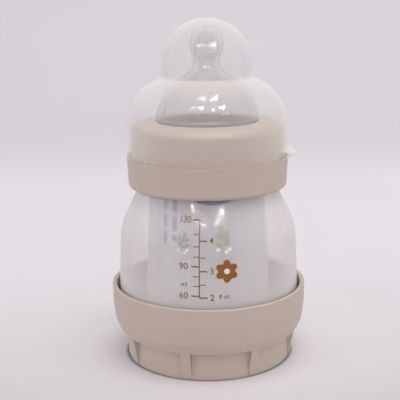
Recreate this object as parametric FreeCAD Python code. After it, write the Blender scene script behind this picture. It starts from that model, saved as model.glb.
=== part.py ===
"""Baby feeding bottle with a vented screw-on base, a flattened silicone teat and a clear cap.

Millimetres, +Z up. The bottle stands on z = 0 with its axis on the Z axis and its front facing -Y.
Every piece is a separate solid, in the place that it has when the bottle is closed.
"""

import FreeCAD, Part
import math
import os

Vector = FreeCAD.Vector
AXIS = Vector(0, 0, 1)
ORIGIN = Vector(0, 0, 0)
TOUCHING = 1e-6

# Bottle body
BODY_RADIUS = 32.2
BODY_WALL = 1.2
BODY_HEIGHT = 67.7
BODY_TAPER_START = 15.1
BODY_TAPER = 0.85
BODY_TAPER_ROUND = 60.0
SHOULDER_HEIGHT = 35.3
SHOULDER_ROUND = 22.0
NECK_RADIUS = 23.9
NECK_WALL = 1.6
NECK_LENGTH = 17.6
NECK_FILLET = 2.0
LIP_ROUND = 0.5

# Vented base
BASE_THREAD_ROOM = 0.9
BASE_WALL = 1.8
BASE_HEIGHT = 26.8
BASE_LIP_FLARE = 0.2
BASE_LIP_DEPTH = 2.0
BAND_BELLY_HEIGHT = 20.0
BAND_BELLY_ROUND = 28.0
BAND_TURN_IN = 0.85
BAND_TURN_HEIGHT = 3.4
BAND_TURN_ROUND = 4.5
RIB_TOP_INSET = 2.9
RIB_TOP_ROUND = 8.0
FOOT_INSET = 5.0
FOOT_ROUND = 0.4
FOOT_WALL = 2.1
GRIP_COUNT = 8
GRIP_HEIGHT = 10.2
GRIP_DEPTH = 5.2
GRIP_RIB_ANGLE = 6.2
FRONT_RIB_ANGLE = -14.8
SHELF_THICKNESS = 1.5
SHELF_WALL = 1.9
FLOOR_DEPTH = 2.5
FLOOR_THICKNESS = 1.5
VENT_COUNT = 8
VENT_RADIUS = 1.0
VENT_CIRCLE = 13.0

# Vent valve
VALVE_RIM_THICKNESS = 1.2
VALVE_RIM_CLEARANCE = 0.5
VALVE_WALL = 1.1
VALVE_MEMBRANE = 0.9
VALVE_SIDE_CLEARANCE = 0.3
VALVE_FLOOR_CLEARANCE = 0.3
VALVE_DOME_RADIUS = 6.0
VALVE_DOME_HEIGHT = 1.4
VALVE_PORT_COUNT = 4
VALVE_PORT_RADIUS = 0.5
VALVE_PORT_CIRCLE = 13.0

# Sealing disc
DISC_FLANGE = 1.0
DISC_EDGE_CLEARANCE = 0.6
DISC_PLUG_CLEARANCE = 0.3
DISC_PLUG_WALL = 1.2
DISC_PLUG_DEPTH = 4.0
DISC_FLOOR = 1.2

# Teat
TEAT_FLANGE = 1.4
TEAT_EDGE_CLEARANCE = 0.4
TEAT_STEM_RADIUS = 17.3
TEAT_FOOT_LAP = 1.0
TEAT_FOOT_HEIGHT = 1.5
TEAT_FOOT_ROUND = 0.7
TEAT_WALL = 1.8
TEAT_HEIGHT = 32.5
TEAT_BELL_RADIUS = 17.9
TEAT_SHOULDER_RADIUS = 12.4
TEAT_NECK_RADIUS = 4.65
TEAT_BULB_RADIUS = 6.4
TEAT_FLATNESS = 0.74
TEAT_TIP_RADIUS = 1.1
TEAT_HOLE_RADIUS = 0.4

# Outline of the teat: share of its height, and share of the way from one radius to the next
BELL_TO_SHOULDER = ((0.0, 0.0), (0.17, 0.2), (0.29, 0.53), (0.40, 1.0))
SHOULDER_TO_NECK = ((0.47, 0.48), (0.54, 0.85), (0.62, 1.0))
NECK_TO_BULB = ((0.74, 0.55), (0.85, 1.0))
BULB_TO_CENTRE = ((0.93, 0.12), (0.98, 0.44))
FLATTENING_START = 0.3
FLATTENING_END = 0.7

# Screw ring
RING_THREAD_ROOM = 1.1
RING_WALL = 1.7
RING_TOP = 1.9
RING_HEIGHT = 23.0
RING_TOP_ROUND = 3.4
RING_LEDGE_HEIGHT = 11.1
RING_LEDGE_OVERHANG = 0.1
RING_SKIRT_WALL = 2.2
RING_SKIRT_TAPER = 0.45
RING_SKIRT_ROUND = 2.8
RING_HOLE_CLEARANCE = 0.3
RING_HOLE_ROUND = 0.4
RING_BEVEL = 0.7

# Protective cap
CAP_WALL = 1.2
CAP_RING_CLEARANCE = 0.5
CAP_STRAIGHT = 3.0
CAP_STRAIGHT_ROUND = 3.0
CAP_DRAFT = 0.9
CAP_SHOULDER_ABOVE_RING = 9.3
CAP_SHOULDER_ROUND = 16.0
CAP_TIER_ABOVE_RING = 15.2
CAP_TIER_FILLET = 1.2
CAP_TEAT_SIDE_GAP = 2.3
CAP_HEADROOM = 1.7
CAP_TAB_REACH = 2.9
CAP_TAB_HEIGHT = 3.4
CAP_TAB_LIP = 0.8
CAP_TAB_RADIUS = 19.0

# Rolled leaflet
PAPER = 0.3
LEAFLET_TOP_CLEARANCE = 3.2
LEAFLET_NECK_CLEARANCE = 1.9
LEAFLET_BODY_CLEARANCE = 7.4
LEAFLET_STEP = 0.6
LEAFLET_HALF_TURNS = 3
LEAFLET_EDGE_ANGLE = 155.0

# Heights of the seats, from the table up
SHELF_Z = GRIP_HEIGHT + SHELF_THICKNESS
FLOOR_Z = SHELF_Z - FLOOR_DEPTH
BODY_Z = SHELF_Z + VALVE_RIM_THICKNESS
NECK_RIM_Z = BODY_Z + BODY_HEIGHT
TEAT_Z = NECK_RIM_Z + DISC_FLANGE
RING_INNER_TOP_Z = TEAT_Z + TEAT_FLANGE
RING_TOP_Z = RING_INNER_TOP_Z + RING_TOP
RING_Z = RING_TOP_Z - RING_HEIGHT
LEDGE_Z = RING_Z + RING_LEDGE_HEIGHT
TEAT_TOP_Z = RING_TOP_Z + TEAT_HEIGHT
CAP_TOP_Z = TEAT_TOP_Z + CAP_HEADROOM + CAP_WALL
MEMBRANE_Z = FLOOR_Z + VALVE_FLOOR_CLEARANCE

# Radii of what fits together, from the axis out
BODY_BORE = BODY_RADIUS - BODY_WALL
BASE_BORE = BODY_RADIUS + BASE_THREAD_ROOM
BASE_RADIUS = BASE_BORE + BASE_WALL
GRIP_RADIUS = BASE_RADIUS - GRIP_DEPTH
DISH_RADIUS = GRIP_RADIUS - SHELF_WALL
NECK_BORE = NECK_RADIUS - NECK_WALL
RING_BORE = NECK_RADIUS + RING_THREAD_ROOM
RING_RADIUS = RING_BORE + RING_WALL
RING_HOLE = TEAT_STEM_RADIUS + RING_HOLE_CLEARANCE
CAP_RADIUS = RING_RADIUS + CAP_RING_CLEARANCE + CAP_WALL
LEDGE_RADIUS = CAP_RADIUS + RING_LEDGE_OVERHANG
TIER_RADIUS = TEAT_SHOULDER_RADIUS + CAP_TEAT_SIDE_GAP + CAP_WALL


def spot(radius, height):
    """A point of a turned profile, in the XZ plane."""
    return Vector(radius, 0, height)


def rounded_wire(corners):
    """Closed wire through (radius, height) or (radius, height, rounding) corners.

    Each side is shared between the roundings at its two ends, so none can run past the other.
    """
    points = [spot(*corner[:2]) for corner in corners]
    rounds = [corner[2] if len(corner) > 2 else 0.0 for corner in corners]
    count = len(points)
    edges = []
    starts = []
    ends = []
    for i, here in enumerate(points):
        if not rounds[i]:
            starts.append(here)
            ends.append(here)
            edges.append(None)
            continue
        sides = [points[i - 1] - here, points[(i + 1) % count] - here]
        others = [rounds[i - 1], rounds[(i + 1) % count]]
        half = sides[0].getAngle(sides[1]) / 2
        room = min(s.Length * rounds[i] / (rounds[i] + o) for s, o in zip(sides, others))
        reach = min(rounds[i] / math.tan(half), room)
        tangents = [here + Vector(side).normalize() * reach for side in sides]
        middle = (Vector(sides[0]).normalize() + Vector(sides[1]).normalize()).normalize()
        radius = reach * math.tan(half)
        crown = here + middle * (radius / math.sin(half) - radius)
        starts.append(tangents[0])
        ends.append(tangents[1])
        edges.append(Part.Arc(tangents[0], crown, tangents[1]).toShape())
    loop = []
    for i in range(count):
        if edges[i]:
            loop.append(edges[i])
        after = starts[(i + 1) % count]
        if ends[i].distanceToPoint(after) > TOUCHING:
            loop.append(Part.LineSegment(ends[i], after).toShape())
    return Part.Wire(loop)


def turned(corners, angle=360):
    """Solid of revolution about the bottle's axis."""
    return Part.Face(rounded_wire(corners)).revolve(ORIGIN, AXIS, angle)


def around(shape, count, start=0.0):
    """Copies of a shape spaced evenly round the axis."""
    copies = []
    for i in range(count):
        copy = shape.copy()
        copy.rotate(ORIGIN, AXIS, start + 360 * i / count)
        copies.append(copy)
    return copies


def from_front(angle):
    """Angle about +Z of a direction given from the front, positive towards +X."""
    return angle - 90


def drilled(shape, radius, circle, count, low, high):
    """Shape with a ring of small holes straight through it."""
    hole = Part.makeCylinder(radius, high - low, Vector(circle, 0, low), AXIS)
    return shape.cut(around(hole, count))


def bottle_body():
    """Clear bottle, open at both ends, with a cone shoulder up to the neck."""
    shoulder_radius = BODY_RADIUS - BODY_TAPER
    shoulder_z = BODY_Z + SHOULDER_HEIGHT
    neck_z = NECK_RIM_Z - NECK_LENGTH
    lean = math.atan2(shoulder_radius - NECK_RADIUS, neck_z - shoulder_z)
    inner_drop = BODY_WALL * math.tan(lean / 2)
    inner_neck_z = neck_z - inner_drop + (NECK_WALL - BODY_WALL) / math.tan(lean)
    taper_z = BODY_Z + BODY_TAPER_START
    return turned([
        (BODY_BORE, BODY_Z, LIP_ROUND),
        (BODY_RADIUS, BODY_Z, LIP_ROUND),
        (BODY_RADIUS, taper_z, BODY_TAPER_ROUND),
        (shoulder_radius, shoulder_z, SHOULDER_ROUND),
        (NECK_RADIUS, neck_z, NECK_FILLET),
        (NECK_RADIUS, NECK_RIM_Z, LIP_ROUND),
        (NECK_BORE, NECK_RIM_Z, LIP_ROUND),
        (NECK_BORE, inner_neck_z, NECK_FILLET),
        (shoulder_radius - BODY_WALL, shoulder_z - inner_drop, SHOULDER_ROUND),
        (BODY_BORE, taper_z, BODY_TAPER_ROUND),
    ])


def base_cup():
    """Screw-on base: a belted cup on a ribbed foot, with a raised floor and vent holes."""
    foot_radius = BASE_RADIUS - FOOT_INSET
    under_z = FLOOR_Z - FLOOR_THICKNESS
    under_radius = GRIP_RADIUS - FOOT_WALL
    cup = turned([
        (0, under_z),
        (under_radius, under_z, FOOT_ROUND),
        (under_radius, 0),
        (foot_radius, 0, FOOT_ROUND),
        (BASE_RADIUS - RIB_TOP_INSET, GRIP_HEIGHT, RIB_TOP_ROUND),
        (BASE_RADIUS - BAND_TURN_IN, GRIP_HEIGHT + BAND_TURN_HEIGHT, BAND_TURN_ROUND),
        (BASE_RADIUS, BAND_BELLY_HEIGHT, BAND_BELLY_ROUND),
        (BASE_RADIUS, BASE_HEIGHT, BASE_WALL / 2),
        (BASE_BORE + BASE_LIP_FLARE, BASE_HEIGHT, BASE_WALL / 3),
        (BASE_BORE, BASE_HEIGHT - BASE_LIP_DEPTH),
        (BASE_BORE, SHELF_Z),
        (DISH_RADIUS, SHELF_Z),
        (DISH_RADIUS, FLOOR_Z, FOOT_ROUND),
        (0, FLOOR_Z),
    ])
    step = 360 / GRIP_COUNT
    recess = turned([
        (GRIP_RADIUS, -FOOT_ROUND),
        (BASE_RADIUS, -FOOT_ROUND),
        (BASE_RADIUS, GRIP_HEIGHT),
        (GRIP_RADIUS, GRIP_HEIGHT, FOOT_ROUND),
    ], step - GRIP_RIB_ANGLE)
    first = from_front(FRONT_RIB_ANGLE) + GRIP_RIB_ANGLE / 2
    cup = cup.cut(around(recess, GRIP_COUNT, first))
    return drilled(cup, VENT_RADIUS, VENT_CIRCLE, VENT_COUNT, under_z, FLOOR_Z)


def vent_valve():
    """Silicone valve: a flat rim under the body, and a membrane over the vent holes."""
    rim_top = SHELF_Z + VALVE_RIM_THICKNESS
    outer = DISH_RADIUS - VALVE_SIDE_CLEARANCE
    inner = outer - VALVE_WALL
    top = MEMBRANE_Z + VALVE_MEMBRANE
    rim_radius = BASE_BORE - VALVE_RIM_CLEARANCE
    valve = turned([
        (0, MEMBRANE_Z + VALVE_DOME_HEIGHT),
        (VALVE_DOME_RADIUS / 2, MEMBRANE_Z + VALVE_DOME_HEIGHT, VALVE_MEMBRANE),
        (VALVE_DOME_RADIUS, MEMBRANE_Z, VALVE_MEMBRANE),
        (outer, MEMBRANE_Z, VALVE_WALL / 2),
        (outer, SHELF_Z),
        (rim_radius, SHELF_Z),
        (rim_radius, rim_top),
        (inner, rim_top, VALVE_WALL / 2),
        (inner, top, VALVE_WALL / 2),
        (VALVE_DOME_RADIUS + VALVE_MEMBRANE, top, VALVE_MEMBRANE),
        (VALVE_DOME_RADIUS / 2 + VALVE_MEMBRANE, top + VALVE_DOME_HEIGHT, VALVE_MEMBRANE),
        (0, top + VALVE_DOME_HEIGHT),
    ])
    return drilled(valve, VALVE_PORT_RADIUS, VALVE_PORT_CIRCLE, VALVE_PORT_COUNT, MEMBRANE_Z, top)


def sealing_disc():
    """Dished disc that plugs the neck under the teat."""
    plug = NECK_BORE - DISC_PLUG_CLEARANCE
    plug_z = NECK_RIM_Z - DISC_PLUG_DEPTH
    edge = RING_BORE - DISC_EDGE_CLEARANCE
    floor_z = plug_z + DISC_FLOOR
    return turned([
        (0, plug_z),
        (plug, plug_z, DISC_FLOOR / 2),
        (plug, NECK_RIM_Z),
        (edge, NECK_RIM_Z),
        (edge, TEAT_Z),
        (plug - DISC_PLUG_WALL, TEAT_Z, DISC_FLANGE / 2),
        (plug - DISC_PLUG_WALL, floor_z, DISC_FLOOR / 2),
        (0, floor_z),
    ])


def teat_sections():
    """Share of the height and half width of the teat's bell, from its foot to its tip."""
    runs = [
        (BELL_TO_SHOULDER, TEAT_BELL_RADIUS, TEAT_SHOULDER_RADIUS),
        (SHOULDER_TO_NECK, TEAT_SHOULDER_RADIUS, TEAT_NECK_RADIUS),
        (NECK_TO_BULB, TEAT_NECK_RADIUS, TEAT_BULB_RADIUS),
        (BULB_TO_CENTRE, TEAT_BULB_RADIUS, 0.0),
    ]
    sections = []
    for run, before, after in runs:
        for share, way in run:
            sections.append((share, before + way * (after - before)))
    return sections + [(1.0, TEAT_TIP_RADIUS)]


def flattening(share):
    """Depth over width of the teat at a share of its height: round bell, flattened tip."""
    rise = (share - FLATTENING_START) / (FLATTENING_END - FLATTENING_START)
    rise = min(max(rise, 0.0), 1.0)
    return 1.0 - (1.0 - TEAT_FLATNESS) * rise * rise * (3 - 2 * rise)


def oval(height, width, depth):
    """Closed oval, its long axis across the front of the bottle."""
    centre = Vector(0, 0, height)
    if width - depth < TOUCHING:
        return Part.Wire(Part.Circle(centre, AXIS, width).toShape())
    return Part.Wire(Part.Ellipse(centre, width, depth).toShape())


def teat_bell(inset):
    """Loft from the round foot of the teat to its flattened tip, drawn in by an inset."""
    height = TEAT_HEIGHT - inset
    wires = []
    for share, width in teat_sections():
        depth = max(width * flattening(share) - inset, TEAT_TIP_RADIUS)
        across = max(width - inset, TEAT_TIP_RADIUS)
        wires.append(oval(RING_TOP_Z + share * height, across, depth))
    return Part.makeLoft(wires, True, False)


def teat():
    """Hollow teat with a flange under the ring and a foot that laps over the ring's hole."""
    bore = TEAT_STEM_RADIUS - TEAT_WALL
    foot_top = RING_TOP_Z + TEAT_FOOT_HEIGHT
    flange = RING_BORE - TEAT_EDGE_CLEARANCE
    root = turned([
        (bore, TEAT_Z),
        (flange, TEAT_Z),
        (flange, RING_INNER_TOP_Z),
        (TEAT_STEM_RADIUS, RING_INNER_TOP_Z),
        (TEAT_STEM_RADIUS, RING_TOP_Z),
        (TEAT_STEM_RADIUS + TEAT_FOOT_LAP, RING_TOP_Z, TEAT_FOOT_ROUND),
        (TEAT_STEM_RADIUS + TEAT_FOOT_LAP, foot_top, TEAT_FOOT_ROUND),
        (bore, foot_top),
    ])
    hollow = Part.makeCylinder(bore, foot_top - TEAT_Z, Vector(0, 0, TEAT_Z), AXIS)
    hole = Part.makeCylinder(TEAT_HOLE_RADIUS, TEAT_HEIGHT, Vector(0, 0, RING_TOP_Z), AXIS)
    shell = teat_bell(0).fuse(root)
    return shell.cut([teat_bell(TEAT_WALL), hollow, hole])


def screw_ring():
    """Collar that clamps the teat on the neck, with a ledge that the cap sits on."""
    skirt_bore = LEDGE_RADIUS - RING_SKIRT_WALL
    skirt_foot = LEDGE_RADIUS - RING_SKIRT_TAPER
    return turned([
        (skirt_bore, RING_Z, RING_BEVEL),
        (skirt_foot, RING_Z, RING_SKIRT_ROUND),
        (LEDGE_RADIUS, LEDGE_Z, RING_LEDGE_OVERHANG),
        (RING_RADIUS, LEDGE_Z, RING_LEDGE_OVERHANG),
        (RING_RADIUS, RING_TOP_Z, RING_TOP_ROUND),
        (RING_HOLE, RING_TOP_Z, RING_HOLE_ROUND),
        (RING_HOLE, RING_INNER_TOP_Z),
        (RING_BORE, RING_INNER_TOP_Z),
        (RING_BORE, LEDGE_Z - RING_SKIRT_WALL),
        (skirt_bore, LEDGE_Z - RING_SKIRT_WALL - RING_BEVEL),
    ])


def cap_profile(inset):
    """Corners of the two-tier dome from its rim to its top, drawn in by an inset."""
    return [
        (CAP_RADIUS - inset, LEDGE_Z),
        (CAP_RADIUS - inset, LEDGE_Z + CAP_STRAIGHT, CAP_STRAIGHT_ROUND),
        (CAP_RADIUS - CAP_DRAFT - inset, RING_TOP_Z + CAP_SHOULDER_ABOVE_RING - inset,
         CAP_SHOULDER_ROUND - inset),
        (TIER_RADIUS - inset, RING_TOP_Z + CAP_TIER_ABOVE_RING - inset, CAP_TIER_FILLET + inset),
        (TIER_RADIUS - inset, CAP_TOP_Z - inset, TIER_RADIUS - inset),
        (0, CAP_TOP_Z - inset),
    ]


def protective_cap():
    """Clear two-tier cap with a crescent lift tab on its rim."""
    dome = turned(cap_profile(0) + cap_profile(CAP_WALL)[::-1])
    tip = CAP_RADIUS + CAP_TAB_REACH
    inner = CAP_RADIUS - CAP_WALL / 2
    lip = turned([
        (inner, LEDGE_Z),
        (tip, LEDGE_Z),
        (tip, LEDGE_Z + CAP_TAB_LIP, CAP_TAB_LIP / 2),
        (inner, LEDGE_Z + CAP_TAB_HEIGHT),
    ])
    crescent = Part.makeCylinder(CAP_TAB_RADIUS, CAP_TAB_HEIGHT,
                                 Vector(tip - CAP_TAB_RADIUS, 0, LEDGE_Z), AXIS)
    return dome.fuse(lip.common(crescent))


def spiral_wire(radius, height):
    """Closed outline of a paper roll: half-turn arcs that step inwards, a sheet thick."""
    sides = []
    for offset in (0.0, PAPER):
        arcs = []
        for half in range(LEAFLET_HALF_TURNS):
            reach = radius - half * LEAFLET_STEP - offset
            centre = Vector(LEAFLET_STEP * (half % 2), 0, height)
            turn = math.pi * half
            points = []
            for angle in (turn, turn + math.pi / 2, turn + math.pi):
                points.append(centre + Vector(math.cos(angle), math.sin(angle), 0) * -reach)
            arcs.append(Part.Arc(*points).toShape())
        sides.append(arcs)
    outer, inner = sides
    first = Part.LineSegment(inner[0].Vertexes[0].Point, outer[0].Vertexes[0].Point).toShape()
    last = Part.LineSegment(outer[-1].Vertexes[-1].Point, inner[-1].Vertexes[-1].Point).toShape()
    return Part.Wire(outer + [last] + inner[::-1] + [first])


def rolled_leaflet():
    """Sheet rolled into a loose cone, standing on the valve and reaching into the neck."""
    foot_z = MEMBRANE_Z + VALVE_MEMBRANE
    top_z = NECK_RIM_Z - DISC_PLUG_DEPTH - LEAFLET_TOP_CLEARANCE
    foot = spiral_wire(BODY_BORE - LEAFLET_BODY_CLEARANCE, foot_z)
    top = spiral_wire(NECK_BORE - LEAFLET_NECK_CLEARANCE, top_z)
    roll = Part.makeLoft([foot, top], True, True)
    roll.rotate(ORIGIN, AXIS, from_front(LEAFLET_EDGE_ANGLE) + 180)
    return roll


def main():
    os.makedirs("parts", exist_ok=True)
    pieces = [bottle_body, base_cup, vent_valve, sealing_disc, teat, screw_ring,
              protective_cap, rolled_leaflet]
    for piece in pieces:
        shape = piece().removeSplitter()
        box = shape.BoundBox
        print(f"{piece.__name__}: valid {shape.isValid()}, {len(shape.Solids)} solid, "
              f"{shape.Volume:.0f} mm3, z {box.ZMin:.2f} to {box.ZMax:.2f}, x {box.XMax:.2f}")
        shape.exportStep(f"parts/{piece.__name__}.step")


main()
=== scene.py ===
"""Looks of a clear baby bottle with a beige vented base and ring, in metres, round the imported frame."""

import bmesh
import bpy
import math
import random
from mathutils import Matrix, Vector, bvhtree


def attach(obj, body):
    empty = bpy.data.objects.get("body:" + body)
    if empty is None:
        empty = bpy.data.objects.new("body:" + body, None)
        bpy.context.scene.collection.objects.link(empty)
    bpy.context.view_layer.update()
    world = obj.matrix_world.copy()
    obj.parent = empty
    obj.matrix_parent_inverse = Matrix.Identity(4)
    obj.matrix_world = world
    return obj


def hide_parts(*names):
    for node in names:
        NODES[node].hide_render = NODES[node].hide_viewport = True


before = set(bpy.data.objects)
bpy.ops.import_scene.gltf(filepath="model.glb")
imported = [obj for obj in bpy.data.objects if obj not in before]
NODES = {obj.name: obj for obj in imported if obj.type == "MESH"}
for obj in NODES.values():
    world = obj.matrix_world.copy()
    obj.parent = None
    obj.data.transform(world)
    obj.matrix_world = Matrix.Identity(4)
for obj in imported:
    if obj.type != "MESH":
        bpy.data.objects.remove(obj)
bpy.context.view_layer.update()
MM = 0.001
random.seed(7)

# Camera, from the photograph's outlines
HALF_PICTURE = 200.0
FOCAL_PIXELS = 857.6
CAMERA_DISTANCE = 300.3 * MM
CAMERA_HEIGHT = 125.2 * MM
CAMERA_PITCH = math.radians(12.95)
CAMERA_YAW = math.radians(0.53)
CAMERA_ROLL = math.radians(-0.632)
CAMERA_VIEW = 2 * math.atan(HALF_PICTURE / FOCAL_PIXELS)

# Screw threads: ridges lower than the room that the bores leave, each fading out over a share of its length.
# The ridge in a bore starts half a pitch above the one that it screws onto.
THREAD_PITCH = 5.0 * MM
THREAD_TURNS = 1.3
THREAD_START_ANGLE = 0.4
THREAD_STEPS = 120
THREAD_FADE = 1 / 8
THREAD_WIDTH = 1.5 * MM
THREAD_SINK = 0.05 * MM
CREST_SHARES = (0.3, 0.7)
NECK_RADIUS = 23.9 * MM
RING_BORE = NECK_RADIUS + 1.1 * MM
NECK_THREAD_Z = 66.5 * MM
RING_THREAD_Z = NECK_THREAD_Z + THREAD_PITCH / 2
NECK_RIDGE = 0.6 * MM
RING_RIDGE = 0.5 * MM
BODY_RADIUS = 32.2 * MM
BASE_BORE = BODY_RADIUS + 0.9 * MM
BODY_THREAD_Z = 14.0 * MM
BASE_THREAD_Z = BODY_THREAD_Z + THREAD_PITCH / 2
BODY_RIDGE = 0.5 * MM
BASE_RIDGE = 0.5 * MM

# Clear mouldings: share of the haze that lets lamp light straight through, because it scatters it forwards,
# the heights between which it thickens towards the base, the painted shade that darkens its colour there,
# and the reflection seen straight on and edge on
LAMP_SHARE = 0.95
FOOT_TOP = 46 * MM
FOOT_BOTTOM = 28 * MM
PAINTED_FOOT_SHADE = 0.1
MIRROR_MIDDLE = 0.015
MIRROR_EDGE = 0.25
MIRROR_POWER = 5.0

# Prints: thin ink laid on a surface from outside it, in faces no longer than the grain in millimetres
PRINT_LIFT = 0.03 * MM
PRINT_RADIUS = 31.6 * MM
PRINT_GRAIN = 0.8
PRINT_CUTS = 4
OUTSIDE_REACH = 0.1

# Printed scale on the front of the body, in millimetres across and up. Marks are heights, labels are places
# across from the scale's line, and units are (text, across from the line, up, height).
SCALE_X = -2.97
TICK_REACH = 2.65
MINOR_REACH = 2.1
LINE_WIDTH = 0.37
TICK_WIDTH = 0.5
MINOR_WIDTH = 0.32
DIGIT_HEIGHT = 2.15
DIGIT_BOLDNESS = 0.03
CAPITAL_SHARE = 0.7
ML_MARKS = {60: 30.9, 70: 34.3, 80: 37.5, 90: 40.9, 100: 44.2, 110: 47.5, 120: 51.4, 130: 55.7}
ML_LABELS = {60: -5.3, 90: -5.3, 130: -5.6}
OZ_MARKS = {2: 30.3, 2.5: 34.7, 3: 39.3, 3.5: 43.9, 4: 49.3, 4.5: 54.7}
OZ_LABELS = {2: 4.15, 3: 4.15, 4: 4.15}
UNITS = (("ml", -5.1, 34.8, 1.5), ("fl oz", 8.1, 30.6, 1.4))

# Printed motifs beside the scale, in millimetres: name, foot across and up, size and lean of each sprig,
# then the leaves, stem and berries of a sprig of size 1, and the flower
SPRIGS = (("sprig_right", 5.2, 46.2, 1.0, 0.15), ("sprig_left", -8.6, 46.0, 0.8, -0.2))
LEAF_PAIRS = (1.2, 3.3)
LEAF_LENGTH = 3.6
LEAF_WIDTH = 1.7
LEAF_SPREAD = math.radians(52)
END_LEAF_UP = 3.6
END_LEAF_LENGTH = 4.0
END_LEAF_WIDTH = 1.9
STEM_WIDTH = 0.32
STEM_DROP = 0.6
STEM_TOP = 4.2
BERRY_RADIUS = 0.62
BERRIES = ((-1.9, 0.2), (2.0, 0.4), (0.9, -0.5))
FLOWER_X = 6.1
FLOWER_Z = 39.2
FLOWER_RADIUS = 3.9
FLOWER_MIDDLE = 0.95
PETAL_DEPTH = 0.34

# Rolled leaflet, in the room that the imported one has: a cone that tightens inwards, a little wavy, with its
# outer edge tucked in over the first share of its length
LEAFLET_COLUMNS = 180
LEAFLET_ROWS = 20
LEAFLET_EDGE = math.radians(155.0)
LEAFLET_TURN = 1.5 * 2 * math.pi
LEAFLET_FOOT = 23.5 * MM
LEAFLET_TOP = 20.3 * MM
LEAFLET_Z = 10.45 * MM
LEAFLET_HEIGHT = 62.8 * MM
LEAFLET_SHEET = 0.2 * MM
LEAFLET_TIGHTENING = 1.3 * MM
LEAFLET_WAVE = 0.12 * MM
WAVES_A_TURN = 5
WAVE_SLANT = 4
LEAFLET_TUCK = 0.5 * MM
TUCK_SHARE = 0.1

# Plain shapes printed on the leaflet, in millimetres: columns of dashes as (middle across, (low, high) runs),
# columns of fine dashes, and the lower part of a round spot
DASH_COLUMNS = ((-15.6, ((56.5, 61), (50.5, 55), (44.5, 49))), (-11.6, ((56, 62), (49.5, 54.5), (46, 48))))
DASH_WIDTH = 1.7
FINE_COLUMNS = (-19.6, -18.3)
FINE_WIDTH = 0.4
FINE_BOTTOM = 32
FINE_LENGTH = 1.8
FINE_STEP = 2.6
FINE_COUNT = 9
SPOT_X = 2.2
SPOT_RADIUS = 17.0
SPOT_BOTTOM = 58.9
SPOT_TOP = 62.8

# Teat's tip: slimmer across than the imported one, and squarer on top
TIP_LENGTH = 9.5 * MM
TIP_SLIMMING = 0.12
CROWN_DEPTH = 3.5 * MM
CROWN_SQUARENESS = 1.9
SHARP_EDGE = math.radians(35)

# Backdrop: a floor that curves up into a wall, painted darker towards the front as painted shade,
# with painted light round the bottle that ends in a painted contact shadow at its base
FLOOR_REACH = 6.0
COVE_START = 0.45
COVE_RADIUS = 0.35
COVE_STEPS = 12
WALL_TOP = 4.0
SHADE_FRONT = -0.35
SHADE_BACK = 0.55
# Painted shade: floor tones from front to back, darker towards the front
PAINTED_FLOOR_SHADE = ((0.325, (0.645, 0.607, 0.613)), (0.41, (0.865, 0.824, 0.843)),
               (0.72, (0.96, 0.931, 0.954)), (1.0, (0.875, 0.845, 0.875)))
# Painted light round the bottle, fading outwards, with a painted contact shadow at its base
PAINTED_GLOW_REACH = 0.2
PAINTED_GLOW_AND_CONTACT_SHADOW = ((0.03, 0.12), (0.0309, 0.93), (0.05, 0.87), (0.085, 0.8))

# Room light in front and behind, and its brightness past the ends of the backdrop, seen only in other views
ROOM_FRONT = 0.53
ROOM_BACK = 0.88
SEEN_ROOM = 0.56

# Large soft lamps: name, power, place and size
SOFT_LAMPS = (("overhead", 4.2, (0.15, -0.15, 0.95), 0.7), ("left", 1.75, (-0.8, -0.35, 0.5), 0.6),
              ("right", 1.2, (0.85, -0.3, 0.45), 0.6), ("front", 1.6, (0.0, -1.2, 0.25), 0.4))

# Small lamps that glint in the plastic: first and last bearing from the front, in degrees, and their number.
# The high band shows in the cap and the teat, the low band of flat lamps in the shoulder of the body.
GLINT_REACH = 0.8
GLINT_RUNS = ((-30, 0, 9), (9, 38, 11))
HIGH_BAND = {"low": 46, "high": 60, "narrow": 0.022, "wide": 0.055, "flatness": 1, "brightness": 200}
LOW_BAND = {"low": 37.2, "high": 37.6, "narrow": 0.018, "wide": 0.04, "flatness": 12, "brightness": 400}
AIM_HEIGHT = 0.06


def shader(name):
    """A new node material, with its tree and its Principled node."""
    material = bpy.data.materials.new(name)
    material.use_nodes = True
    tree = material.node_tree
    return material, tree, tree.nodes["Principled BSDF"]


def node(tree, kind, **values):
    """A new shader node with some of its inputs set."""
    made = tree.nodes.new(kind)
    for key, value in values.items():
        made.inputs[key.replace("_", " ")].default_value = value
    return made


def figure(tree, operation, *values):
    """A maths node on links or numbers; returns its output."""
    made = tree.nodes.new("ShaderNodeMath")
    made.operation = operation
    for place, value in zip(made.inputs, values):
        if isinstance(value, (int, float)):
            place.default_value = value
        else:
            tree.links.new(value, place)
    return made.outputs["Value"]


def vectors(tree, operation, *values):
    """A vector maths node on links or triples."""
    made = tree.nodes.new("ShaderNodeVectorMath")
    made.operation = operation
    for place, value in zip(made.inputs, values):
        if isinstance(value, tuple):
            place.default_value = value
        else:
            tree.links.new(value, place)
    return made


def ramp(tree, factor, stops):
    """A colour ramp along a link, through stops of (position, colour); returns its colour."""
    made = tree.nodes.new("ShaderNodeValToRGB")
    elements = made.color_ramp.elements
    elements.remove(elements[-1])
    elements[0].position = stops[0][0]
    elements[0].color = (*stops[0][1], 1)
    for position, colour in stops[1:]:
        elements.new(position).color = (*colour, 1)
    tree.links.new(factor, made.inputs["Fac"])
    return made.outputs["Color"]


def noise(tree, scale, detail):
    """Noise over a surface, from 0 to 1."""
    place = tree.nodes.new("ShaderNodeTexCoord")
    made = node(tree, "ShaderNodeTexNoise", Scale=scale, Detail=detail)
    tree.links.new(place.outputs["Object"], made.inputs["Vector"])
    return made.outputs["Fac"]


def mould_bump(tree, target, scale, strength, distance=0.02 * MM):
    """Fine moulded texture on a shader's normal."""
    bump = node(tree, "ShaderNodeBump", Strength=strength, Distance=distance)
    tree.links.new(noise(tree, scale, 3.0), bump.inputs["Height"])
    tree.links.new(bump.outputs["Normal"], target.inputs["Normal"])


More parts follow.
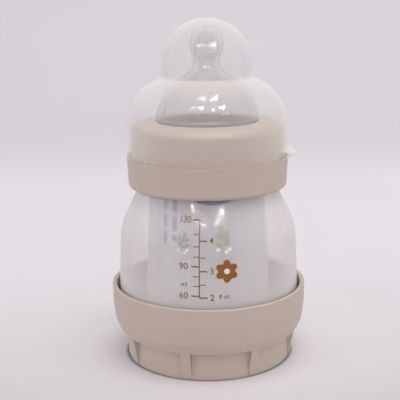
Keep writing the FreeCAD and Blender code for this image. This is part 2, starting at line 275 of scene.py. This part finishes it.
def varied_colour(tree, target, dark, light, scale):
    """Slow change of colour over a surface."""
    colour = ramp(tree, noise(tree, scale, 2.0), ((0.3, dark), (0.7, light)))
    tree.links.new(colour, target.inputs["Base Color"])


def beige_plastic():
    material, tree, surface = shader("beige_plastic")
    surface.inputs["Roughness"].default_value = 0.5
    surface.inputs["IOR"].default_value = 1.49
    varied_colour(tree, surface, (0.507, 0.415, 0.351), (0.526, 0.432, 0.366), 40.0)
    mould_bump(tree, surface, 2600.0, 0.12)
    return material


def outside_share(tree, place, middle, inner):
    """1 on faces seen from outside, the share inner on inside ones, and little of either to lamp light."""
    geometry = tree.nodes.new("ShaderNodeNewGeometry")
    front = figure(tree, "SUBTRACT", 1.0, geometry.outputs["Backfacing"])
    away = vectors(tree, "SUBTRACT", place.outputs["Object"], (0, 0, middle * MM))
    along = vectors(tree, "DOT_PRODUCT", away.outputs["Vector"], place.outputs["Normal"])
    outward = figure(tree, "GREATER_THAN", along.outputs["Value"], 0.0)
    shown = figure(tree, "MULTIPLY", front, figure(tree, "MAXIMUM", outward, inner))
    lamp_ray = tree.nodes.new("ShaderNodeLightPath").outputs["Is Shadow Ray"]
    unlit = figure(tree, "SUBTRACT", 1.0, figure(tree, "MULTIPLY", lamp_ray, LAMP_SHARE))
    return figure(tree, "MULTIPLY", shown, unlit)


def foot_share(tree, place, low):
    """Rises from 0 to the share low where the moulding comes down into the base."""
    height = tree.nodes.new("ShaderNodeSeparateXYZ")
    foot = node(tree, "ShaderNodeMapRange", From_Min=FOOT_TOP, From_Max=FOOT_BOTTOM, To_Max=low)
    tree.links.new(place.outputs["Object"], height.inputs["Vector"])
    tree.links.new(height.outputs["Z"], foot.inputs["Value"])
    return foot.outputs["Result"]


def blend(tree, share, first, second):
    """A mix of two shaders."""
    made = tree.nodes.new("ShaderNodeMixShader")
    for place, link in zip(made.inputs, (share, first, second)):
        tree.links.new(link, place)
    return made.outputs["Shader"]


def hazy(name, colour, painted_edge_tone, haze, edge, roughness, spread=1.0, middle=60.0, inner=0.0, low=0.0):
    """Clear moulding: what is behind it shows through a haze that thickens where it is seen edge on.

    Faces that look towards the point at height middle on the axis are inside, and take the share inner of it.
    The share low is added to the haze where the moulding meets the base, and there its colour is darkened as
    painted shade.
    """
    material, tree, cloud = shader(name)
    cloud.inputs["Roughness"].default_value = 0.5
    cloud.inputs["Specular IOR Level"].default_value = 0.0
    clear = node(tree, "ShaderNodeBsdfTransparent", Color=(0.985, 0.985, 0.985, 1))
    gloss = node(tree, "ShaderNodeBsdfGlossy", Color=(1, 1, 1, 1), Roughness=roughness)
    mould_bump(tree, gloss, 400.0, 0.02, 0.05 * MM)
    facing = node(tree, "ShaderNodeLayerWeight", Blend=0.5).outputs["Facing"]
    place = tree.nodes.new("ShaderNodeTexCoord")
    outside = outside_share(tree, place, middle, inner)
    foot = foot_share(tree, place, low)
    # Painted edge shade: the haze's colour turns to the edge tone where it is seen edge on, darkening the
    # outlines; on the cap the edge tone is lighter, as painted light
    painted_haze_tone = vectors(tree, "SCALE", ramp(tree, facing, ((0.35, colour), (1.0, painted_edge_tone))))
    # Painted shade: the haze darkens where the moulding meets the base
    fade = figure(tree, "MULTIPLY_ADD", foot, -PAINTED_FOOT_SHADE, 1.0)
    tree.links.new(fade, painted_haze_tone.inputs["Scale"])
    tree.links.new(painted_haze_tone.outputs["Vector"], cloud.inputs["Base Color"])
    cloudy = figure(tree, "MULTIPLY_ADD", figure(tree, "POWER", facing, spread), edge - haze, haze)
    cloudy = figure(tree, "MULTIPLY", figure(tree, "ADD", cloudy, foot), outside)
    grazing = figure(tree, "POWER", facing, MIRROR_POWER)
    mirror = figure(tree, "MULTIPLY_ADD", grazing, MIRROR_EDGE, MIRROR_MIDDLE)
    mirror = figure(tree, "MULTIPLY", mirror, outside)
    thin = blend(tree, cloudy, clear.outputs["BSDF"], cloud.outputs["BSDF"])
    skin = blend(tree, mirror, thin, gloss.outputs["BSDF"])
    tree.links.new(skin, tree.nodes["Material Output"].inputs["Surface"])
    return material


def paper():
    material, tree, surface = shader("white_paper")
    surface.inputs["Roughness"].default_value = 0.62
    varied_colour(tree, surface, (0.55, 0.55, 0.578), (0.585, 0.585, 0.61), 60.0)
    mould_bump(tree, surface, 900.0, 0.2)
    return material


def ink(name, colour):
    material, tree, surface = shader(name)
    surface.inputs["Roughness"].default_value = 0.45
    surface.inputs["Specular IOR Level"].default_value = 0.2
    dark = tuple(c * 0.92 for c in colour)
    varied_colour(tree, surface, dark, colour, 800.0)
    return material


def add_piece(name, mesh, material):
    """An object with one material."""
    mesh.materials.append(material)
    piece = bpy.data.objects.new(name, mesh)
    bpy.context.collection.objects.link(piece)
    return piece


def add_mesh(name, verts, faces, material):
    """A smooth object with one material, from its points and faces."""
    mesh = bpy.data.meshes.new(name)
    mesh.from_pydata([tuple(v) for v in verts], [], faces)
    mesh.update()
    mesh.polygons.foreach_set("use_smooth", [True] * len(mesh.polygons))
    return add_piece(name, mesh, material)


def dress(name, material):
    """Gives a CAD node its finish."""
    slots = NODES[name].data.materials
    slots.clear()
    slots.append(material)


def thread(name, body, material, radius, height, bottom):
    """Helical ridge on a cylinder; a negative height makes an internal ridge."""
    verts = []
    faces = []
    root = radius - math.copysign(THREAD_SINK, height)

    def add_face(corners):
        faces.append(corners if height > 0 else corners[::-1])

    for i in range(THREAD_STEPS + 1):
        share = i / THREAD_STEPS
        angle = THREAD_START_ANGLE + share * THREAD_TURNS * 2 * math.pi
        fade = min(1.0, share / THREAD_FADE, (1 - share) / THREAD_FADE)
        low = bottom + share * THREAD_TURNS * THREAD_PITCH
        crest = radius + height * fade
        section = ((root, 0.0), (crest, CREST_SHARES[0]), (crest, CREST_SHARES[1]), (root, 1.0))
        for reach, up in section:
            verts.append((reach * math.cos(angle), reach * math.sin(angle), low + up * THREAD_WIDTH))
        if i:
            at = 4 * i
            for k in range(4):
                n = (k + 1) % 4
                add_face((at - 4 + k, at + k, at + n, at - 4 + n))
    add_face((0, 1, 2, 3))
    last = 4 * THREAD_STEPS
    add_face((last + 3, last + 2, last + 1, last))
    piece = add_mesh(name, verts, faces, material)
    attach(piece, body)


class Wrap:
    """Lays flat artwork, in millimetres, on the outside of a mesh, seen from the front."""

    def __init__(self, mesh):
        points = [v.co.copy() for v in mesh.vertices]
        faces = [tuple(p.vertices) for p in mesh.polygons]
        self.tree = bvhtree.BVHTree.FromPolygons(points, faces)

    def radius(self, angle, z):
        start = Vector((math.sin(angle), -math.cos(angle), 0)) * OUTSIDE_REACH
        start.z = z
        hit = self.tree.ray_cast(start, Vector((-start.x, -start.y, 0)).normalized())[0]
        return math.hypot(hit.x, hit.y)

    def point(self, x, z, around, lift):
        """x along the surface from the front, on the circle of radius around."""
        angle = x * MM / around
        reach = self.radius(angle, z * MM) + lift
        return Vector((reach * math.sin(angle), -reach * math.cos(angle), z * MM))


def split_long_edges(work):
    """Cuts flat artwork into small faces, so that it follows a curved surface."""
    bmesh.ops.triangulate(work, faces=work.faces[:])
    for _ in range(PRINT_CUTS):
        long_edges = [e for e in work.edges if e.calc_length() > PRINT_GRAIN]
        if not long_edges:
            break
        bmesh.ops.subdivide_edges(work, edges=long_edges, cuts=1)
        bmesh.ops.triangulate(work, faces=work.faces[:])


def lay(name, wrap, work, material, body, slot, around=PRINT_RADIUS, lift=PRINT_LIFT):
    """Moves flat artwork onto a surface and makes it a piece of thin ink."""
    split_long_edges(work)
    for v in work.verts:
        v.co = wrap.point(v.co.x, v.co.y, around, lift)
    work.normal_update()
    for face in work.faces:
        outward = face.calc_center_median()
        if face.normal.x * outward.x + face.normal.y * outward.y < 0:
            face.normal_flip()
    mesh = bpy.data.meshes.new(name)
    work.to_mesh(mesh)
    work.free()
    piece = add_piece(name, mesh, material)
    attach(piece, body)


def patch(name, wrap, outlines, material, body, slot, **laying):
    """Flat outlines laid on a surface."""
    work = bmesh.new()
    for outline in outlines:
        work.faces.new([work.verts.new((x, z, 0)) for x, z in outline])
    lay(name, wrap, work, material, body, slot, **laying)


def words(name, wrap, entries, material, body, slot):
    """Plain numbers and units laid on a surface; entries are (text, middle x, middle z, height)."""
    work = bmesh.new()
    for text, x, z, height in entries:
        curve = bpy.data.curves.new("glyphs", "FONT")
        curve.body = text
        curve.size = height / CAPITAL_SHARE
        curve.align_x = "CENTER"
        curve.align_y = "CENTER"
        curve.offset = DIGIT_BOLDNESS
        curve.resolution_u = 4
        holder = bpy.data.objects.new("glyphs", curve)
        bpy.context.collection.objects.link(holder)
        bpy.context.view_layer.update()
        flat = bpy.data.meshes.new_from_object(holder)
        flat.transform(Matrix.Translation((x, z, 0)))
        work.from_mesh(flat)
        bpy.data.objects.remove(holder)
        bpy.data.curves.remove(curve)
        bpy.data.meshes.remove(flat)
    lay(name, wrap, work, material, body, slot)


def bar(x0, x1, z0, z1):
    """Corners of an upright rectangle."""
    return [(x0, z0), (x1, z0), (x1, z1), (x0, z1)]


def printed_scale(wrap, brown):
    """Graduated line with ticks, numbers and units."""
    bars = [bar(SCALE_X - LINE_WIDTH / 2, SCALE_X + LINE_WIDTH / 2, OZ_MARKS[2], ML_MARKS[130])]
    entries = []
    for marks, labels, way in ((ML_MARKS, ML_LABELS, -1), (OZ_MARKS, OZ_LABELS, 1)):
        for value, z in marks.items():
            main = value in labels
            reach = TICK_REACH if main else MINOR_REACH
            half = (TICK_WIDTH if main else MINOR_WIDTH) / 2
            ends = sorted((SCALE_X, SCALE_X + way * reach))
            bars.append(bar(ends[0], ends[1], z - half, z + half))
        entries += [(str(v), SCALE_X + across, marks[v], DIGIT_HEIGHT) for v, across in labels.items()]
    entries += [(text, SCALE_X + across, z, height) for text, across, z, height in UNITS]
    patch("scale_lines", wrap, bars, brown, "bottle", "clear_plastic")
    words("scale_numbers", wrap, entries, brown, "bottle", "clear_plastic")


def leaf(x, z, length, width, angle, sides=10):
    """Outline of a pointed leaf growing from a point."""
    points = []
    for i in range(2 * sides):
        t = i / sides
        along = t if t <= 1 else 2 - t
        across = width / 2 * math.sin(math.pi * along) * (1 if t <= 1 else -1)
        points.append((along * length, across))
    c, s = math.cos(angle), math.sin(angle)
    return [(x + c * a - s * b, z + s * a + c * b) for a, b in points]


def disc(x, z, radius, sides=48):
    """Outline of a round spot."""
    step = 2 * math.pi / sides
    return [(x + radius * math.cos(i * step), z + radius * math.sin(i * step)) for i in range(sides)]


def flower(x, z, radius, petals=6, sides=96):
    """Outline of a flower with round petals."""
    points = []
    for i in range(sides):
        turn = i / sides * 2 * math.pi
        angle = math.pi / 2 + turn
        reach = radius * (1 - PETAL_DEPTH + PETAL_DEPTH * abs(math.cos(petals * turn / 2)))
        points.append((x + reach * math.cos(angle), z + reach * math.sin(angle)))
    return points


def bowl(x, bottom, radius, top, sides=24):
    """Outline of the lower part of a large round spot, cut off level at the top."""
    half = math.acos(1 - (top - bottom) / radius)
    points = []
    for i in range(sides + 1):
        angle = half * (2 * i / sides - 1)
        points.append((x + radius * math.sin(angle), bottom + radius * (1 - math.cos(angle))))
    return points


def motifs(wrap, taupe, white, rust):
    """Leaf sprigs and a flower with a pale middle, on the right and left of the scale."""
    for name, x, z, size, lean in SPRIGS:
        upright = math.pi / 2 + lean
        leaves = []
        for angle in (upright + LEAF_SPREAD, upright - LEAF_SPREAD):
            for up in LEAF_PAIRS:
                leaves.append(leaf(x, z + up * size, LEAF_LENGTH * size, LEAF_WIDTH * size, angle))
        leaves.append(leaf(x, z + END_LEAF_UP * size, END_LEAF_LENGTH * size, END_LEAF_WIDTH * size, upright))
        leaves.append(bar(x - STEM_WIDTH / 2, x + STEM_WIDTH / 2, z - STEM_DROP, z + STEM_TOP * size))
        patch(name, wrap, leaves, taupe, "bottle", "clear_plastic")
        berries = [disc(x + a * size, z + b * size, BERRY_RADIUS * size, 20) for a, b in BERRIES]
        patch(name + "_berries", wrap, berries, white, "bottle", "clear_plastic")
    patch("flower", wrap, [flower(FLOWER_X, FLOWER_Z, FLOWER_RADIUS)], rust, "bottle", "clear_plastic")
    middle = disc(FLOWER_X, FLOWER_Z, FLOWER_MIDDLE, 24)
    patch("flower_middle", wrap, [middle], white, "bottle", "clear_plastic", lift=2 * PRINT_LIFT)


def leaflet_points(columns, rows):
    """Both sides of the rolled sheet, column by column: the outer side first."""
    points = []
    for side in (0.0, LEAFLET_SHEET):
        for i in range(columns + 1):
            share = i / columns
            angle = LEAFLET_EDGE + share * LEAFLET_TURN
            for j in range(rows + 1):
                up = j / rows
                reach = LEAFLET_FOOT + up * (LEAFLET_TOP - LEAFLET_FOOT) - LEAFLET_TIGHTENING * share - side
                reach += LEAFLET_WAVE * math.sin(WAVES_A_TURN * angle + WAVE_SLANT * up) * share
                reach -= LEAFLET_TUCK * max(0.0, 1 - share / TUCK_SHARE) ** 2
                z = LEAFLET_Z + up * LEAFLET_HEIGHT
                points.append((reach * math.sin(angle), -reach * math.cos(angle), z))
    return points


def leaflet_faces(columns, rows):
    """Faces of the sheet's two sides and of its four edges."""
    faces = []
    line = rows + 1
    layer = (columns + 1) * line
    for i in range(columns):
        for j in range(rows):
            a = i * line + j
            faces.append((a, a + line, a + line + 1, a + 1))
            faces.append((layer + a, layer + a + 1, layer + a + line + 1, layer + a + line))
        for j in (0, rows):
            a = i * line + j
            quad = (a, layer + a, layer + a + line, a + line)
            faces.append(quad if j == 0 else quad[::-1])
    for i in (0, columns):
        for j in range(rows):
            a = i * line + j
            quad = (a, a + 1, layer + a + 1, layer + a)
            faces.append(quad if i == 0 else quad[::-1])
    return faces


def leaflet(white):
    """Sheet of paper rolled one and a half times into a loose cone, with plain printed shapes."""
    points = leaflet_points(LEAFLET_COLUMNS, LEAFLET_ROWS)
    roll = add_mesh("leaflet_roll", points, leaflet_faces(LEAFLET_COLUMNS, LEAFLET_ROWS), white)
    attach(roll, "valve")
    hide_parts("rolled_leaflet")
    wrap = Wrap(roll.data)
    dashes = []
    for x, runs in DASH_COLUMNS:
        dashes += [bar(x - DASH_WIDTH / 2, x + DASH_WIDTH / 2, low, high) for low, high in runs]
    fine = []
    for x in FINE_COLUMNS:
        for k in range(FINE_COUNT):
            low = FINE_BOTTOM + FINE_STEP * k
            fine.append(bar(x - FINE_WIDTH / 2, x + FINE_WIDTH / 2, low, low + FINE_LENGTH))
    spot = bowl(SPOT_X, SPOT_BOTTOM, SPOT_RADIUS, SPOT_TOP)
    for name, outlines, colour in (
        ("leaflet_spot", [spot], ink("blue_ink", (0.02, 0.045, 0.2))),
        ("leaflet_lines", dashes, ink("pale_blue_ink", (0.20, 0.24, 0.50))),
        ("leaflet_small_lines", fine, ink("grey_ink", (0.42, 0.42, 0.56))),
    ):
        patch(name, wrap, outlines, colour, "valve", "white_paper", around=LEAFLET_TOP)


def squared_teat(silicone):
    """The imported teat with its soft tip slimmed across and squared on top; the height stays."""
    work = bmesh.new()
    work.from_mesh(NODES["teat"].data)
    bmesh.ops.remove_doubles(work, verts=work.verts[:], dist=0.001 * MM)
    top = max(v.co.z for v in work.verts)
    for v in work.verts:
        below = top - v.co.z
        share = min(1.0, max(0.0, (TIP_LENGTH - below) / (TIP_LENGTH - CROWN_DEPTH)))
        v.co.x *= 1 - TIP_SLIMMING * share * share * (3 - 2 * share)
        if below < CROWN_DEPTH:
            v.co.z = top - CROWN_DEPTH * (below / CROWN_DEPTH) ** CROWN_SQUARENESS
    mesh = bpy.data.meshes.new("teat_soft")
    work.to_mesh(mesh)
    work.free()
    mesh.polygons.foreach_set("use_smooth", [True] * len(mesh.polygons))
    mesh.set_sharp_from_angle(angle=SHARP_EDGE)
    piece = add_piece("teat_soft", mesh, silicone)
    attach(piece, "teat")
    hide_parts("teat")


def pale_paper():
    """Painted shade that darkens the floor towards the front, times painted light round the bottle that ends
    in a painted contact shadow at its base.
    """
    material, tree, surface = shader("pale_paper")
    surface.inputs["Roughness"].default_value = 0.9
    place = tree.nodes.new("ShaderNodeTexCoord")
    split = tree.nodes.new("ShaderNodeSeparateXYZ")
    reach = node(tree, "ShaderNodeMapRange", From_Min=SHADE_FRONT, From_Max=SHADE_BACK)
    tree.links.new(place.outputs["Object"], split.inputs["Vector"])
    tree.links.new(split.outputs["Y"], reach.inputs["Value"])
    # Painted shade, darker towards the front
    painted_floor_shade = ramp(tree, reach.outputs["Result"], PAINTED_FLOOR_SHADE)
    # Painted light round the bottle, with a painted contact shadow at its base
    out = vectors(tree, "LENGTH", place.outputs["Object"]).outputs["Value"]
    stops = [(radius / PAINTED_GLOW_REACH, (share, share, share)) for radius, share in PAINTED_GLOW_AND_CONTACT_SHADOW]
    painted_glow = ramp(tree, figure(tree, "MULTIPLY", out, 1 / PAINTED_GLOW_REACH), stops)
    both = vectors(tree, "MULTIPLY", painted_floor_shade, painted_glow)
    tree.links.new(both.outputs["Vector"], surface.inputs["Base Color"])
    return material


def backdrop():
    """Pale floor that curves up into a pale wall behind the bottle."""
    profile = [(-FLOOR_REACH, 0.0), (COVE_START, 0.0)]
    for i in range(1, COVE_STEPS + 1):
        angle = i / COVE_STEPS * math.pi / 2
        profile.append((COVE_START + COVE_RADIUS * math.sin(angle), COVE_RADIUS * (1 - math.cos(angle))))
    profile.append((COVE_START + COVE_RADIUS, WALL_TOP))
    verts = [(x, y, z) for y, z in profile for x in (-FLOOR_REACH, FLOOR_REACH)]
    faces = [(2 * i, 2 * i + 1, 2 * i + 3, 2 * i + 2) for i in range(len(profile) - 1)]
    floor = add_mesh("floor", verts, faces, pale_paper())
    floor.visible_glossy = False


def lamp(name, energy, place, glint=False, **values):
    """An area light aimed at the bottle; only glints are mirrored, and they light nothing else."""
    data = bpy.data.lights.new(name, "AREA")
    data.energy = energy
    for key, value in values.items():
        setattr(data, key, value)
    light = bpy.data.objects.new(name, data)
    light.location = place
    aim = Vector((0, 0, AIM_HEIGHT)) - Vector(place)
    light.rotation_euler = aim.to_track_quat("-Z", "Y").to_euler()
    light.visible_glossy = glint
    light.visible_diffuse = not glint
    light.visible_camera = False
    bpy.context.collection.objects.link(light)


def room():
    """Soft light from all round, dimmer in front."""
    world = bpy.data.worlds.new("room")
    world.use_nodes = True
    tree = world.node_tree
    background = tree.nodes["Background"]
    background.inputs["Color"].default_value = (0.93, 0.93, 0.97, 1)
    place = tree.nodes.new("ShaderNodeTexCoord")
    split = tree.nodes.new("ShaderNodeSeparateXYZ")
    dim = node(tree, "ShaderNodeMapRange", From_Min=-1.0, From_Max=0.2, To_Min=ROOM_FRONT, To_Max=ROOM_BACK)
    tree.links.new(place.outputs["Generated"], split.inputs["Vector"])
    tree.links.new(split.outputs["Y"], dim.inputs["Value"])
    seen = tree.nodes.new("ShaderNodeLightPath").outputs["Is Camera Ray"]
    unseen = figure(tree, "MULTIPLY", dim.outputs["Result"], figure(tree, "SUBTRACT", 1.0, seen))
    strength = figure(tree, "ADD", unseen, figure(tree, "MULTIPLY", seen, SEEN_ROOM))
    tree.links.new(strength, background.inputs["Strength"])
    bpy.context.scene.world = world


def glints(band):
    """Small lamps high in front, strewn along each run of bearings."""
    for first, last, count in GLINT_RUNS:
        for i in range(count):
            across = math.radians(first + (last - first) * (i + random.random()) / count)
            up = math.radians(random.uniform(band["low"], band["high"]))
            out = GLINT_REACH * math.cos(up)
            place = (out * math.sin(across), -out * math.cos(across), AIM_HEIGHT + GLINT_REACH * math.sin(up))
            wide = random.uniform(band["narrow"], band["wide"])
            tall = wide / band["flatness"]
            lamp("glint", band["brightness"] * wide * tall, place, glint=True,
                 shape="ELLIPSE", size=wide, size_y=tall)


def lights():
    """Soft room light with four large lamps, and the small ones that glint."""
    room()
    for name, power, place, size in SOFT_LAMPS:
        lamp(name, power, place, size=size)
    glints(HIGH_BAND)
    glints(LOW_BAND)


def camera():
    """Camera in front, a little above the cap, looking slightly down."""
    data = bpy.data.cameras.new("camera")
    data.sensor_fit = "HORIZONTAL"
    data.angle = CAMERA_VIEW
    data.clip_start = 0.01
    eye = bpy.data.objects.new("camera", data)
    turn = Matrix.Rotation(CAMERA_YAW, 4, "Z")
    turn = turn @ Matrix.Rotation(math.pi / 2 - CAMERA_PITCH, 4, "X")
    turn = turn @ Matrix.Rotation(CAMERA_ROLL, 4, "Z")
    eye.matrix_world = Matrix.Translation((0, -CAMERA_DISTANCE, CAMERA_HEIGHT)) @ turn
    bpy.context.collection.objects.link(eye)
    bpy.context.scene.camera = eye


def main():
    beige = beige_plastic()
    # Each clear finish has a colour and an edge tone; the edge tone is painted shade along its outlines, and
    # painted light on the cap where it is lighter
    body_clear = hazy("clear_body", (0.72, 0.666, 0.655), (0.67, 0.618, 0.605), haze=0.33, edge=0.95,
                      roughness=0.04, spread=0.8, middle=40.0, inner=0.3, low=0.24)
    cap_clear = hazy("clear_cap", (0.72, 0.66, 0.62), (0.755, 0.712, 0.678), haze=0.12, edge=0.85,
                     roughness=0.04, spread=1.2, middle=85.0)
    teat_silicone = hazy("teat_silicone", (0.62, 0.58, 0.558), (0.38, 0.38, 0.38), haze=0.38, edge=0.80,
                         roughness=0.09, spread=2.0, middle=90.0, inner=0.6)
    valve_silicone = hazy("valve_silicone", (0.75, 0.75, 0.75), (0.6, 0.6, 0.6), haze=0.5, edge=0.9,
                          roughness=0.3, inner=1.0)
    milky = hazy("milky_plastic", (0.88, 0.87, 0.86), (0.8, 0.8, 0.8), haze=0.9, edge=0.97,
                 roughness=0.25, inner=1.0)
    dress("base_cup", beige)
    dress("screw_ring", beige)
    dress("bottle_body", body_clear)
    dress("protective_cap", cap_clear)
    dress("vent_valve", valve_silicone)
    dress("sealing_disc", milky)
    squared_teat(teat_silicone)
    thread("neck_thread", "bottle", body_clear, NECK_RADIUS, NECK_RIDGE, NECK_THREAD_Z)
    thread("ring_thread", "ring", beige, RING_BORE, -RING_RIDGE, RING_THREAD_Z)
    thread("body_thread", "bottle", body_clear, BODY_RADIUS, BODY_RIDGE, BODY_THREAD_Z)
    thread("base_thread", "base", beige, BASE_BORE, -BASE_RIDGE, BASE_THREAD_Z)
    leaflet(paper())
    wrap = Wrap(NODES["bottle_body"].data)
    printed_scale(wrap, ink("brown_ink", (0.27, 0.14, 0.05)))
    motifs(wrap, ink("taupe_ink", (0.41, 0.39, 0.31)), ink("white_ink", (0.8, 0.8, 0.8)),
           ink("rust_ink", (0.30, 0.112, 0.024)))
    backdrop()
    lights()
    camera()


main()
bpy.context.scene.view_settings.view_transform = "Standard"
